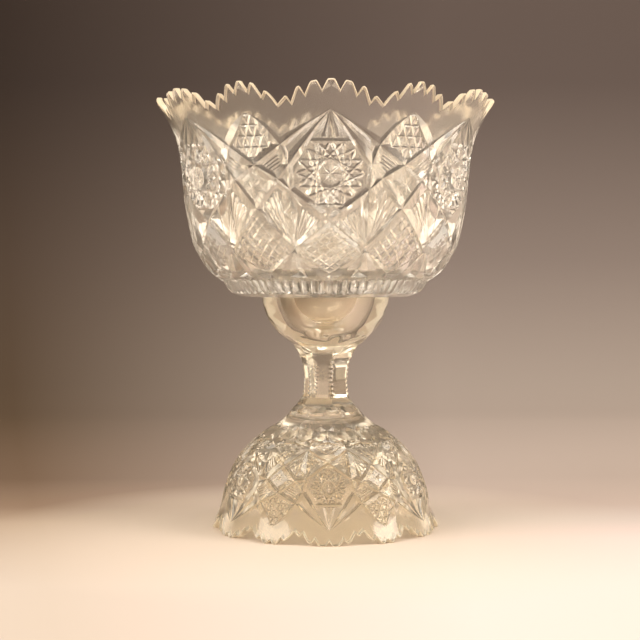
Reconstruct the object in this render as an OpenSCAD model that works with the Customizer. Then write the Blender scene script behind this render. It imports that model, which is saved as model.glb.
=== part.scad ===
// Two-piece cut-glass trifle bowl: a deep bowl with a toothed rim that stands on an upturned stand.
// Millimetres. +Z is the axis, z = 0 is the surface it rests on, and a wide scallop faces -Y.

/* [Bowl] */
// Diameter over the teeth of the rim
bowl_d = 230; // [215:1:250]
// Height from the ground ring to the highest tooth
bowl_h = 135; // [125:1:150]
// Wall at the rim
bowl_rim_wall = 4; // [3:0.5:6]
// Wall at the foot of the side
bowl_side_wall = 7; // [5:0.5:8]
// Glass between the seat and the inside floor
bowl_floor = 10; // [8:0.5:14]
// Diameter of the collar under the body
collar_d = 140; // [134:1:144]
// Height of the collar
collar_h = 11; // [9:0.5:13]
// Diameter of the ground ring that the collar ends in
ground_ring_d = 116; // [110:1:124]
// Depth of the valleys between the scallops of the rim
bowl_valley = 15; // [12:0.5:18]
// Depth of the notches between the teeth of the rim
bowl_notch = 6; // [4:0.5:7]
// Opening angle of the notches of the rim
bowl_notch_angle = 56; // [45:1:65]

/* [Seat] */
// Depth of the recess under the bowl that the cup's lip enters
seat_depth = 2.5; // [1.5:0.5:4]
// Radial clearance between the lip and the recess
seat_clearance = 0.5; // [0.3:0.1:1]

/* [Foot] */
// Diameter over the teeth of the foot
foot_d = 155; // [145:1:170]
// Height of the dome, up to the root of the stem
dome_h = 70; // [64:1:78]
// Wall of the dome
dome_wall = 6; // [5:0.5:8]
// Glass over the crown of the dome's hollow
dome_crown = 8; // [6:0.5:12]
// Depth of the valleys between the scallops of the foot
foot_valley = 9.5; // [7:0.5:12]
// Depth of the notches between the teeth of the foot
foot_notch = 3.5; // [2.5:0.5:5]
// Opening angle of the notches of the foot
foot_notch_angle = 70; // [55:1:80]
// Glass ground off the tips of the foot, so that it stands on small flats
foot_ground = 0.6; // [0.4:0.1:1]

/* [Stem] */
// Thickness over the corners at the waist
stem_d = 31; // [28:0.5:35]
// Height from the root of the stem to the underside of the cup
stem_h = 60; // [52:1:70]
// Number of flat sides
stem_sides = 6; // [6:1:8]
// Turn of a corner away from the middle of a wide scallop
stem_turn = 13; // [0:1:30]

/* [Cup] */
// Diameter of the lip that carries the bowl
cup_d = 87; // [80:1:94]
// Height from the stem to the top of the lip
cup_h = 31.5; // [28:0.5:36]
// Width of the flat lip
cup_lip = 21; // [16:0.5:24]
// Depth of the hollow
cup_depth = 21; // [16:0.5:24]

/* [Cutting] */
// Width of the long mitres of the bowl
bowl_mitre_w = 7; // [4:0.5:8]
// Depth of the long mitres of the bowl
bowl_mitre_depth = 2.2; // [1:0.1:2.6]
// Width of the long mitres of the dome
foot_mitre_w = 4.5; // [3:0.5:6]
// Depth of the long mitres of the dome
foot_mitre_depth = 1.4; // [0.8:0.1:1.8]

/* [Scallops] */
// Number of wide scallops round each rim, with a narrow one between each two
repeats = 6; // [5:1:8]

/* [Hidden] */
$fn = 96;
// How far a cutter runs past what it cuts
overrun = 1;
// Stretches of a curve between two of its points
curve_steps = 3;

bowl_r = bowl_d / 2;
collar_r = collar_d / 2;
ground_ring_r = ground_ring_d / 2;
foot_r = foot_d / 2;
stem_r = stem_d / 2;
cup_r = cup_d / 2;
stem_z = dome_h;
cup_z = stem_z + stem_h;
lip_z = cup_z + cup_h;
bowl_z = lip_z - seat_depth;
floor_z = seat_depth + bowl_floor;

// Part of a repeat that its wide scallop takes
wide_share = 0.6;
// Part of the radius that the cutters of a rim reach in through
reach_share = 0.2;
// Notches of a scallop, as parts of its half width from the middle
bowl_wide_notch_shares = [0.16, 0.475, 0.745];
bowl_narrow_notch_shares = [0.21, 0.6];
foot_wide_notch_shares = [0, 0.405, 0.75];
foot_narrow_notch_shares = [0, 0.5];

// Side of the bowl, [part of the rim's radius, part of the height above the collar]
bowl_side_shares = [
    [0.63, 0.004], [0.69, 0.045], [0.735, 0.106], [0.785, 0.194], [0.8165, 0.319],
    [0.8374, 0.44], [0.8617, 0.663], [0.8852, 0.768], [0.9278, 0.861], [0.9974, 0.966]
];
// Rounded underside of the collar, [part of the way out from the ground ring, part of its height]
collar_shares = [[0, 0], [0.4, 0.13], [0.7, 0.4], [0.88, 0.7], [1, 1]];
// Flat part of the bowl's inside floor, of the radius where the side begins
floor_flat_share = 0.62;
// Foot and dome, [part of the foot's radius, part of the dome's height]
dome_shares = [
    [1, 0], [0.996, 0.04], [0.964, 0.13], [0.929, 0.22], [0.903, 0.367], [0.862, 0.514],
    [0.785, 0.681], [0.671, 0.829], [0.537, 0.953], [0.458, 1]
];
// Points of the dome that its hollow follows, and the hollow's crown as parts of its own size
hollow_followed = 8;
hollow_crown_shares = [[0.42, 0.975], [0, 1]];
// Round blank of the stem, [part of its radius, part of its height]
stem_shares = [
    [1.774, 0.098], [1.387, 0.23], [1.148, 0.335], [1.071, 0.45],
    [1.097, 0.583], [1.194, 0.717], [1.355, 0.825], [1.58, 0.925]
];
// Flat sides of the stem, [distance from the axis as part of its radius, part of its height]
flat_shares = [
    [3.04, -0.117], [1.93, 0], [1.44, 0.1], [1.12, 0.233], [0.925, 0.333], [0.866, 0.5],
    [0.93, 0.7], [1.06, 0.817], [1.28, 0.922], [1.7, 1.005], [2.2, 1.08]
];
// Outside of the cup below its straight lip, [part of its radius, part of its height]
cup_shares = [[0.657, 0], [0.736, 0.127], [0.894, 0.43], [0.979, 0.756], [1, 0.98]];

// Crossings of the long mitres, [part of half a repeat's angle, part of the piece's height]:
// under a wide scallop, under a narrow one, side and foot of the kite, shoulder, elbow,
// foot of the small diamond, foot of the hobstar's panel, and fan
bowl_crossing_shares = [
    [0, 0.867], [1, 0.867], [0.63, 0.711], [1, 0.622], [0.533, 0.619], [0.513, 0.504],
    [1, 0.4185], [0, 0.3615], [0.493, 0.226]
];
dome_crossing_shares = [
    [0, 0.181], [1, 0.15], [0.623, 0.371], [1, 0.464], [0.5, 0.474], [0.467, 0.6],
    [1, 0.714], [0, 0.757], [0.483, 0.863]
];
// Mitres from crossing to crossing
mitre_runs = [
    [0, 2], [0, 4], [1, 2], [2, 3], [3, 5], [5, 7], [7, 8], [4, 6], [6, 8], [5, 8]
];
// Runs that rise out of the surface at their start, counted from the first
rising_runs = 3;
// How far above the surface these start, as a share of the depth, and how far past its
// crossing a mitre runs on, as a share of its width
rise_share = 0.15;
run_on_share = 0.23;

// A share point as a real one, in a box of the given radius and height that starts at z
function placed(shares, r, h, z = 0) = [for (s = shares) [r * s.x, z + h * s.y]];

// Point at part t of the way from b to c, on a smooth curve through a, b, c and d
function curve_point(a, b, c, d, t) =
    b + t / 2 * (c - a + t * (2 * a - 5 * b + 4 * c - d + t * (3 * (b - c) + d - a)));

// Smooth curve through points
function curve(points) = [
    for (i = [0 : len(points) - 2], j = [0 : curve_steps - (i == len(points) - 2 ? 0 : 1)])
        curve_point(
            points[max(i - 1, 0)], points[i], points[i + 1],
            points[min(i + 2, len(points) - 1)], j / curve_steps)
];

// Direction square to a line of points at point i, on its left
function left_of(points, i) =
    let (step = points[min(i + 1, len(points) - 1)] - points[max(i - 1, 0)])
    [-step.y, step.x] / norm(step);

// A line of points moved to its left, by one wall at its start and another at its end
function inset(points, start_wall, end_wall) = [
    for (i = [0 : len(points) - 1])
        let (part = i / (len(points) - 1))
        points[i] + left_of(points, i) * (start_wall + part * (end_wall - start_wall))
];

bowl_side = placed(bowl_side_shares, bowl_r, bowl_h - collar_h, collar_h);
bowl_inside = inset(bowl_side, bowl_side_wall, bowl_rim_wall);
dome_side = placed(dome_shares, foot_r, dome_h);
dome_followed = [for (i = [0 : hollow_followed - 1]) dome_side[i]];
dome_inside = inset(dome_followed, dome_wall, dome_wall);

// Half angle of a scallop, wide or narrow
function half_angle(wide) = (wide ? wide_share : 1 - wide_share) * 180 / repeats;

// Radius of the round top of a scallop that is drop high at its ends, on a rim of radius r
function scallop_r(r, drop, wide) =
    let (half_w = r * sin(half_angle(wide)))
    (half_w * half_w + drop * drop) / (2 * drop);

// How far below its middle a scallop lies at an angle from it
function scallop_fall(r, drop, wide, angle) =
    let (top_r = scallop_r(r, drop, wide), x = r * sin(angle))
    top_r - sqrt(top_r * top_r - x * x);

// Radius of a turned side of [radius, height] points, at a height
function side_r(side, z) = lookup(z, [for (p = side) [p.y, p.x]]);

// Direction out of a turned side, at an angle from -Y and a height
function side_out(side, angle, z) =
    let (slope = (side_r(side, z + overrun) - side_r(side, z - overrun)) / (2 * overrun))
    [sin(angle), -cos(angle), -slope] / norm([1, slope]);

// Point at a depth in a turned side
function in_side(side, angle, z, depth) =
    let (r = side_r(side, z))
    [r * sin(angle), -r * cos(angle), z] - side_out(side, angle, z) * depth;

// Repeats a shape at every scallop of one kind
module at_scallops(wide)
    for (i = [0 : repeats - 1]) rotate([0, 0, (i + (wide ? 0 : 0.5)) * 360 / repeats]) children();

// V notch that runs in from a rim of radius r, its line at z = 0
module notch_cut(r, depth, angle)
    let (high = 2 * depth + overrun, half_w = high * tan(angle / 2))
    translate([0, r * (reach_share - 1), 0]) rotate([90, 0, 0])
        linear_extrude(r * reach_share + overrun) polygon([[0, 0], [half_w, high], [-half_w, high]]);

// Notches of one scallop, whose middle is at z = 0
module scallop_notches(r, drop, wide, shares, depth, angle)
    for (s = shares, side = s == 0 ? [1] : [-1, 1])
        let (turn = side * s * half_angle(wide))
        rotate([0, 0, turn]) translate([0, 0, -depth - scallop_fall(r, drop, wide, turn)])
            notch_cut(r, depth, angle);

// What is cut from a rim of radius r whose tips are at z = 0, upwards
module rim_cut(r, drop, depth, angle, wide_shares, narrow_shares) {
    difference() {
        translate([0, 0, -drop - overrun]) difference() {
            cylinder(r = r + overrun, h = drop + 3 * overrun);
            translate([0, 0, -overrun])
                cylinder(r = r * (1 - reach_share), h = drop + 5 * overrun);
        }
        for (wide = [true, false])
            let (top_r = scallop_r(r, drop, wide))
            at_scallops(wide)
                translate([0, r * (reach_share - 1) + overrun, -top_r]) rotate([90, 0, 0])
                    cylinder(r = top_r, h = r * reach_share + 3 * overrun);
    }
    at_scallops(true) scallop_notches(r, drop, true, wide_shares, depth, angle);
    at_scallops(false) scallop_notches(r, drop, false, narrow_shares, depth, angle);
}

// Straight V cut between two points in a turned side, opening outwards
module mitre(start, end, out, w, depth)
    let (
        along = (end - start) / norm(end - start),
        level = out - along * (out * along),
        up = level / norm(level),
        across = cross(up, along),
        high = 2 * depth + overrun
    )
    multmatrix([
        [across.x, up.x, along.x, start.x],
        [across.y, up.y, along.y, start.y],
        [across.z, up.z, along.z, start.z]
    ])
        linear_extrude(norm(end - start))
            polygon([[0, 0], [w / 2 * high / depth, high], [-w / 2 * high / depth, high]]);

// The long mitres of a turned side whose piece is h high
module mitres(side, h, crossing_shares, w, depth)
    for (i = [0 : len(mitre_runs) - 1], hand = [-1, 1])
        let (
            a = crossing_shares[mitre_runs[i][0]],
            b = crossing_shares[mitre_runs[i][1]],
            half_turn = hand * 180 / repeats,
            start = in_side(
                side, a.x * half_turn, a.y * h, i < rising_runs ? -depth * rise_share : depth),
            end = in_side(side, b.x * half_turn, b.y * h, depth),
            run_on = (end - start) / norm(end - start) * w * run_on_share
        )
        at_scallops(true)
            mitre(
                start - (i < rising_runs ? 0 : 1) * run_on, end + run_on,
                side_out(side, (a.x + b.x) / 2 * half_turn, (a.y + b.y) / 2 * h), w, depth);

// Body of the bowl with its collar and ground ring, as turned
module bowl_blank()
    rotate_extrude() polygon(concat(
        [[0, 0]],
        [for (s = collar_shares) [ground_ring_r + (collar_r - ground_ring_r) * s.x, collar_h * s.y]],
        curve(bowl_side),
        [[bowl_r, bowl_h], [bowl_r, bowl_h + overrun], [0, bowl_h + overrun]]
    ));

// Inside of the bowl
module bowl_hollow()
    let (rim_in = bowl_r - bowl_rim_wall)
    rotate_extrude() polygon(concat(
        [[0, floor_z]],
        curve(concat([[bowl_inside[0].x * floor_flat_share, floor_z]], bowl_inside)),
        [[rim_in, bowl_h], [rim_in, bowl_h + 2 * overrun], [0, bowl_h + 2 * overrun]]
    ));

// Deep bowl: toothed rim, flared side, collar, and the recess that sits over the cup's lip
module bowl()
    color([0.93, 0.92, 0.88]) translate([0, 0, bowl_z]) difference() {
        bowl_blank();
        bowl_hollow();
        mitres(curve(bowl_side), bowl_h, bowl_crossing_shares, bowl_mitre_w, bowl_mitre_depth);
        translate([0, 0, -overrun]) cylinder(r = cup_r + seat_clearance, h = seat_depth + overrun);
        translate([0, 0, bowl_h]) rim_cut(
            bowl_r, bowl_valley, bowl_notch, bowl_notch_angle,
            bowl_wide_notch_shares, bowl_narrow_notch_shares);
    }

// Foot, stem and cup as turned, before they are cut
module stand_blank()
    rotate_extrude() polygon(concat(
        [[0, -foot_ground - overrun], [foot_r, -foot_ground - overrun]],
        curve(concat(
            dome_side,
            placed(stem_shares, stem_r, stem_h, stem_z),
            placed(cup_shares, cup_r, cup_h - seat_depth, cup_z))),
        [[cup_r, lip_z - seat_depth], [cup_r, lip_z], [0, lip_z]]
    ));

// Hollow under the dome
module dome_hollow()
    let (mouth_r = foot_r - dome_wall, crown_z = dome_h - dome_crown)
    rotate_extrude() polygon(concat(
        [[0, -foot_ground - 2 * overrun], [mouth_r, -foot_ground - 2 * overrun]],
        curve(concat(dome_inside, placed(hollow_crown_shares, mouth_r, crown_z)))
    ));

// Hollow of the cup, a half ellipsoid
module cup_hollow()
    let (mouth_r = cup_r - cup_lip, steps = 4 * curve_steps)
    translate([0, 0, lip_z]) rotate_extrude() polygon(concat(
        [[0, overrun], [mouth_r, overrun]],
        [for (i = [0 : steps]) [mouth_r * cos(90 * i / steps), -cup_depth * sin(90 * i / steps)]]
    ));

// Cuts that give the stem its flat sides, running out on the dome and under the cup
module stem_flats()
    let (flats = placed(flat_shares, stem_r, stem_h, stem_z), ends = len(flats) - 1)
    for (i = [0 : stem_sides - 1])
        rotate([0, 0, stem_turn - 90 + (i + 0.5) * 360 / stem_sides]) rotate([90, 0, 0])
            linear_extrude(2 * foot_r, center = true)
                polygon(concat(flats, [[foot_r, flats[ends].y], [foot_r, flats[0].y]]));

// Stand: domed foot with a toothed rim, six-sided stem, and the cup whose lip carries the bowl
module stand()
    color([0.90, 0.87, 0.78]) difference() {
        stand_blank();
        dome_hollow();
        cup_hollow();
        stem_flats();
        mitres(curve(dome_side), dome_h, dome_crossing_shares, foot_mitre_w, foot_mitre_depth);
        translate([0, 0, -foot_ground]) mirror([0, 0, 1]) rim_cut(
            foot_r, foot_valley, foot_notch, foot_notch_angle,
            foot_wide_notch_shares, foot_narrow_notch_shares);
        translate([0, 0, -foot_ground - 2 * overrun])
            cylinder(r = foot_r + overrun, h = foot_ground + 2 * overrun);
    }

stand();
bowl();
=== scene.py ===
# %% [markdown]
# # A cut-glass trifle bowl on its stand
# The real object is two heavy pieces of glass. A deep bowl with a toothed rim stands, held by
# nothing but its weight, on a stand that looks like a smaller bowl turned upside down. Both
# were turned round and smooth, and then cut on grinding wheels. A wheel with a sharp edge
# leaves a V groove, which cutters call a mitre, and the whole star pattern is made of mitres.
# This lesson does the same: it makes a smooth wall first, and then cuts it.

# %% Load the frame
import math

import bmesh
import bpy
import numpy as np
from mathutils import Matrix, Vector
from mathutils.geometry import delaunay_2d_cdt


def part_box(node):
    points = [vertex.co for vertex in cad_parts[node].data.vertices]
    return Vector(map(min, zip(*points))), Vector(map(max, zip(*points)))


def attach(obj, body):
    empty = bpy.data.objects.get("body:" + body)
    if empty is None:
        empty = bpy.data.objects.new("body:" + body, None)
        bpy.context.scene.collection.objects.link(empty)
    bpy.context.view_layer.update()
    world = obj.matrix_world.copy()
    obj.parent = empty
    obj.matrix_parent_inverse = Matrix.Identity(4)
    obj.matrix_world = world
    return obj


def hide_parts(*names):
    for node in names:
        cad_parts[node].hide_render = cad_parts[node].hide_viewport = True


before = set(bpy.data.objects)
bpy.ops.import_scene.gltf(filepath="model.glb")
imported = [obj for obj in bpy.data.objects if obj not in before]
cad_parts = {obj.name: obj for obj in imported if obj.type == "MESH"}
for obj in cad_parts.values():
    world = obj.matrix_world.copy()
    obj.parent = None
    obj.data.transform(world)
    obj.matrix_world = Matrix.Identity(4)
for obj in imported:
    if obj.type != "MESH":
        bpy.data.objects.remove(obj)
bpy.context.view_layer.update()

MM = 0.001
bowl_low, bowl_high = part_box("bowl")
stand_low, stand_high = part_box("stand")
print("bowl from", bowl_low, "to", bowl_high)
print("stand from", stand_low, "to", stand_high)

# %% [markdown]
# ## Sizes
# The frame knows the main sizes: how wide and how high each piece is. Everything in the mesh
# code is in millimetres, because wheels, walls and grooves have sizes like 4 or 2.6 there.
# Only the last step of each piece turns them into Blender's metres. The pattern repeats six
# times round the axis and is its own mirror image, so 30 degrees of it are enough.

# %% Sizes of the two pieces
bowl_r = (bowl_high[0] - bowl_low[0]) / 2 / MM
bowl_z = bowl_low[2] / MM
bowl_h = (bowl_high[2] - bowl_low[2]) / MM
foot_r = (stand_high[0] - stand_low[0]) / 2 / MM
lip_z = stand_high[2] / MM

bowl_rim_wall = 4.0
bowl_side_wall = 7.0
bowl_floor = 10.0
collar_r = 70.0
collar_h = 11.0
ground_ring_r = 58.0
seat_depth = 2.5
seat_clearance = 0.5
seat_gap = 0.1
dome_h = 70.0
dome_wall = 6.0
dome_crown = 8.0
stem_r = 15.5
stem_h = 60.0
cup_r = 43.5
cup_lip = 21.0
cup_depth = 21.0

repeats = 6
half_repeat = 180 / repeats
column = half_repeat / 12
columns = [column * i for i in range(13)]
print("rim radius", round(bowl_r, 2), "foot radius", round(foot_r, 2), "column", column, "degrees")

# %% [markdown]
# ## Camera
# The photograph was taken from a little over a metre away, with the lens at about the height
# of the bowl's waist and tipped down by two degrees. A long lens keeps the rim nearly flat.
# The object stands turned by less than two degrees. Turning the camera the other way round
# the axis shows the same, and leaves the object where the frame has it.

# %% Place the camera
camera_reach = 1.052
camera_height = 0.181
camera_tip = math.radians(2.1)
camera_side = math.radians(-1.8)
camera_lens = 86.2
axis_shift = 0.0086


def add_object(name, data):
    """A new object in the scene."""
    thing = bpy.data.objects.new(name, data)
    bpy.context.collection.objects.link(thing)
    return thing


camera = add_object("camera", bpy.data.cameras.new("camera"))
camera.data.lens = camera_lens
camera.data.sensor_width = 36
camera.data.shift_x = -axis_shift
camera.location = (
    camera_reach * math.sin(camera_side),
    -camera_reach * math.cos(camera_side),
    camera_height,
)
camera.rotation_euler = (math.pi / 2 - camera_tip, 0, camera_side)
bpy.context.scene.camera = camera
print("camera at", tuple(round(v, 3) for v in camera.location))

# %% [markdown]
# ## Shader maths as plain Python
# A material's nodes do sums on every point of a surface. Wrapping an output socket in a small
# class lets those sums be written as they are on paper: `1 - mask * 0.5` adds its two Math
# nodes by itself. Any other node comes from one method, which takes the node's type, its
# settings and what goes into its sockets. The few nodes that are needed often have short
# names on top of it, such as `mask.mix(pale, dark)`.

# %% A class that wraps sockets
class Wire:
    """An output socket that can be added, multiplied and fed to other nodes."""

    def __init__(self, tree, socket):
        self.tree = tree
        self.socket = socket

    def node(self, kind, settings=None, out=0, **inputs):
        return add_node(self.tree, kind, settings, out, **inputs)

    def sum(self, operation, first, second):
        return self.node("ShaderNodeMath", {"operation": operation}, _0=first, _1=second)

    def axis(self, i):
        """One of the three numbers of a vector."""
        return self.node("ShaderNodeSeparateXYZ", out=i, Vector=self)

    def clamp(self):
        return self.node("ShaderNodeClamp", Value=self)

    def between(self, low, high):
        """A number that goes from 0 to 1 as this one goes from low to high."""
        return self.node("ShaderNodeMapRange", Value=self, From_Min=low, From_Max=high)

    def ramp(self, stops):
        return self.node("ShaderNodeValToRGB", {"stops": stops}, Fac=self)

    def mix(self, first, second):
        """The first colour where this is 0, the second one where it is 1."""
        first, second = (c if isinstance(c, Wire) else (*c, 1) for c in (first, second))
        return self.node("ShaderNodeMix", {"data_type": "RGBA"}, 2, _0=self, _6=first, _7=second)

    def __add__(self, other):
        return self.sum("ADD", self, other)

    def __mul__(self, other):
        return self.sum("MULTIPLY", self, other)

    def __sub__(self, other):
        return self.sum("SUBTRACT", self, other)

    def __rsub__(self, other):
        return self.sum("SUBTRACT", other, self)

    def __truediv__(self, other):
        return self.sum("DIVIDE", self, other)

    def __rtruediv__(self, other):
        return self.sum("DIVIDE", other, self)

    __radd__ = __add__
    __rmul__ = __mul__


def add_node(tree, kind, settings=None, out=0, **inputs):
    """Adds a node: settings first, then inputs by name, or by place as _0, _1 and so on."""
    node = tree.nodes.new(kind)
    for name, value in (settings or {}).items():
        if name == "stops":
            while len(node.color_ramp.elements) < len(value):
                node.color_ramp.elements.new(1.0)
            for stop, (place, colour) in zip(node.color_ramp.elements, value):
                stop.position = place
                stop.color = (*colour, 1)
        else:
            setattr(node, name, value)
    for name, value in inputs.items():
        key = int(name[1:]) if name[0] == "_" else name.replace("_", " ")
        if isinstance(value, Wire):
            tree.links.new(value.socket, node.inputs[key])
        else:
            node.inputs[key].default_value = value
    return Wire(tree, node.outputs[out])


def new_material(name):
    """An empty material: its tree and its output's Surface socket."""
    material = bpy.data.materials.new(name)
    material.use_nodes = True
    tree = material.node_tree
    tree.nodes.clear()
    output = tree.nodes.new("ShaderNodeOutputMaterial")
    return material, tree, output.inputs["Surface"]


print("shader helpers ready")

# %% [markdown]
# ## Floor and backdrop
# Clear glass has hardly a colour of its own. What the eye reads as glass is the room, bent
# and mirrored in its facets, so floor and backdrop are half of the material. In the
# photograph a pale cream table runs back into paper that fades to dark taupe, darker on the
# left than on the right. One bent sheet does this. It catches the object's shadow like any
# floor, and two colour ramps along it, one for each side, give the fading. The fading towards
# the back is painted shade, which stands for light falling off there, over the paper's own
# pale colour. Beside the picture the table stays pale, as the facets at the object's sides
# show it, and round the foot it is a little paler too: a painted pool of light for the light
# that cut glass throws there.

# %% One sheet for floor and backdrop
floor_half_w = 2.6
paper_half_w = 0.53
floor_front = -2.6
floor_back = 0.75
bend_r = 0.55
paper_h = 0.85
sweep_line = [(floor_front, 0.0, floor_half_w), (floor_back, 0.0, floor_half_w)]
bend_steps = 16
for step in range(1, bend_steps + 1):
    angle = math.pi / 2 * step / bend_steps
    place = (floor_back + bend_r * math.sin(angle), bend_r * (1 - math.cos(angle)))
    sweep_line.append((*place, floor_half_w + (paper_half_w - floor_half_w) * math.sin(angle)))
sweep_line.append((floor_back + bend_r, paper_h, paper_half_w))

sweep_mesh = bpy.data.meshes.new("sweep")
sweep_mesh.from_pydata(
    [(side * half_w, y, z) for y, z, half_w in sweep_line for side in (-1, 1)],
    [],
    [(2 * i, 2 * i + 1, 2 * i + 3, 2 * i + 2) for i in range(len(sweep_line) - 1)],
)
for face in sweep_mesh.polygons:
    face.use_smooth = True
sweep = add_object("sweep", sweep_mesh)

# %% Colour of the paper
# places along the paper in metres, y plus z, and each side's colour there, with painted shade
paper_places = (-0.19, -0.05, 0.02, 0.09, 0.24, 0.7, 0.95, 1.35, 1.75)
left_paper_and_shade_tones = (
    (0.61, 0.52, 0.45), (0.485, 0.385, 0.31), (0.445, 0.34, 0.26),
    (0.285, 0.2, 0.145), (0.16, 0.108, 0.075), (0.112, 0.077, 0.051),
    (0.083, 0.058, 0.04), (0.061, 0.044, 0.034), (0.032, 0.024, 0.021),
)
right_paper_and_shade_tones = (
    (0.78, 0.66, 0.63), (0.75, 0.6, 0.58), (0.6, 0.515, 0.48),
    (0.52, 0.42, 0.375), (0.44, 0.362, 0.323), (0.4, 0.334, 0.3),
    (0.313, 0.266, 0.24), (0.18, 0.149, 0.137), (0.09, 0.072, 0.067),
)
table_tone = (0.71, 0.63, 0.52)
# painted light: a paler pool on the floor round the foot, for the light that cut glass throws
painted_pool_tone = (0.75, 0.65, 0.55)
painted_pool_middle = (0.0, -0.02, 0.0)
painted_pool_r = 0.24
ramp_start = -0.3
ramp_length = 2.3
side_contrast = 3.6
side_balance = 0.68
view_spread = 0.22


def paper_stops(tones):
    return [((p - ramp_start) / ramp_length, tone) for p, tone in zip(paper_places, tones)]


paper, tree, surface = new_material("sweep_paper_and_painted_shade")
position = add_node(tree, "ShaderNodeNewGeometry")
across, along, above = [position.axis(i) for i in range(3)]
way = (along + above - ramp_start) * (1 / ramp_length)
depth = way.sum("MAXIMUM", along + camera_reach, 0.5)
side = (across / depth * side_contrast + side_balance).clamp()
# painted shade: the ramps darken the paper towards the back, as if less light reached it there
tone = side.mix(way.ramp(paper_stops(left_paper_and_shade_tones)), way.ramp(paper_stops(right_paper_and_shade_tones)))
beside = way.sum("ABSOLUTE", across, 0.0) - along * view_spread
tone = beside.between(0.3, 1.5).mix(tone, table_tone)
# painted pool of light round the foot
away = way.node("ShaderNodeVectorMath", {"operation": "DISTANCE"}, 1, _0=position, _1=painted_pool_middle)
tone = away.between(painted_pool_r, 0.03).mix(tone, painted_pool_tone)
finish = tone.node("ShaderNodeBsdfDiffuse", Color=tone)
tree.links.new(finish.socket, surface)
sweep_mesh.materials.append(paper)
print("sweep from y", floor_front, "to", floor_back + bend_r)

# %% [markdown]
# ## Light
# Cut glass needs large soft lights, which show as long highlights in the facets, and
# something dark between them. A facet that bends the view up or back shows the room there,
# and in the photograph such facets are nearly as dark as the paper. So the room is dark high
# up behind the paper. Low down it has a bright, warm band, which facets that look sideways
# catch. Two large softboxes at the front and a small one overhead add the sparkle.

# %% Softboxes and room
def softbox(name, place, size, power):
    """A warm rectangular area lamp that looks at the middle of the object."""
    lamp = bpy.data.lights.new(name, "AREA")
    lamp.shape = "RECTANGLE"
    lamp.size, lamp.size_y = size
    lamp.energy = power
    lamp.color = (1.0, 0.95, 0.87)
    holder = add_object(name, lamp)
    holder.location = place
    holder.rotation_euler = (middle - Vector(place)).to_track_quat("-Z", "Y").to_euler()


middle = Vector((0.0, 0.0, 0.16))
softbox("left_softbox", (-1.9, -1.0, 1.5), (1.4, 1.6), 27)
softbox("right_softbox", (2.0, -0.8, 1.3), (1.1, 1.5), 30)
softbox("top_softbox", (0.0, -0.2, 1.6), (0.9, 0.7), 8)

# the room's colour against the height of the direction one looks in
room_stops = [
    (0.02, (1.8, 1.5, 1.22)), (0.14, (1.95, 1.68, 1.38)), (0.3, (1.35, 1.17, 0.96)),
    (0.62, (1.0, 0.88, 0.73)),
]
dark_tone = (0.11, 0.09, 0.075)
dark_behind = 0.1
dark_above = 0.16

world = bpy.data.worlds.new("studio")
world.use_nodes = True
room = world.node_tree
background = room.nodes["Background"]
direction = add_node(room, "ShaderNodeTexCoord", out=0)
behind = direction.axis(1)
rise = direction.axis(2)
dark = ((behind - dark_behind) * 3).clamp() * ((rise - dark_above) * 6).clamp()
room_tone = dark.mix(rise.ramp(room_stops), dark_tone)
room.links.new(room_tone.socket, background.inputs["Color"])
bpy.context.scene.world = world
bpy.context.scene.view_settings.view_transform = "Standard"
bpy.context.scene.cycles.max_bounces = 24
bpy.context.scene.cycles.transmission_bounces = 24
print("lights:", [lamp.name for lamp in bpy.data.lights])

# %% [markdown]
# ## Glass
# Both pieces are old table glass with an index of refraction of 1.52 and a warm tint, which
# is stronger in the stand. A trace of haze spreads a little of the light. One noise gives the
# slow ripple of hand polishing, and a finer one the marks of the wheel. There are four
# finishes: the cut outside, the inside, which is dull with use at its bottom, the ground
# underside, and the half-polished edges of the teeth, which spread the light and glow.

# %% Clear glass and tooth edges
refraction = 1.52
ripple_h = 0.00009
worn_from_z = 0.215
worn_to_z = 0.175


def glass(name, colour, smear, clearness, wear=0.0):
    """Old clear glass: a colour, how much its polish smears, how much of the light goes straight
    through, and how much rougher its lowest part is worn."""
    material, tree, surface = new_material(name)
    place = add_node(tree, "ShaderNodeTexCoord", out=3)
    swell = place.node("ShaderNodeTexNoise", Vector=place, Scale=70.0, Detail=1.0)
    marks = place.node("ShaderNodeTexNoise", Vector=place, Scale=900.0, Detail=2.0)
    relief = place.node("ShaderNodeBump", Strength=1.0, Distance=ripple_h, Height=swell + marks * 0.06)
    amber = tuple(c * share for c, share in zip(colour, (1.0, 0.985, 0.94)))
    rough = smear * (marks + 0.5)
    if wear:
        rough = rough + place.axis(2).between(worn_from_z, worn_to_z) * wear
    shader = place.node(
        "ShaderNodeBsdfPrincipled", Base_Color=swell.mix(colour, amber), Roughness=rough,
        Normal=relief, IOR=refraction, Transmission_Weight=clearness)
    tree.links.new(shader.socket, surface)
    return material


bowl_tint = (0.995, 0.967, 0.922)
stand_tint = (1.0, 0.94, 0.82)
bowl_glass = glass("bowl_cut_glass", bowl_tint, 0.02, 0.948)
stand_glass = glass("stand_cut_glass", stand_tint, 0.02, 0.94)
bowl_worn = glass("bowl_inside_glass", bowl_tint, 0.1, 0.948, 0.05)
bowl_ground = glass("bowl_ground_glass", (0.99, 0.95, 0.88), 0.45, 0.8)
stand_worn = glass("stand_inside_glass", stand_tint, 0.1, 0.945)
bowl_edge = glass("bowl_tooth_glass", (0.96, 0.84, 0.66), 0.35, 0.5)
stand_edge = glass("stand_tooth_glass", (0.97, 0.87, 0.7), 0.35, 0.5)
print("glasses:", [material.name for material in bpy.data.materials if "glass" in material.name])

# %% [markdown]
# ## Turned walls
# A turned wall is one line swept round the axis. A few points give its shape, and a smooth
# curve runs through them. A `Profile` knows, at any way along that line, the radius, the
# height and the direction that points out of the glass, which is what a cut needs.

# %% Smooth lines and profiles
def unit(v):
    return v / np.linalg.norm(v)


def quarter_turn(v):
    """A direction turned to its own left."""
    return np.array([-v[1], v[0]])


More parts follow.
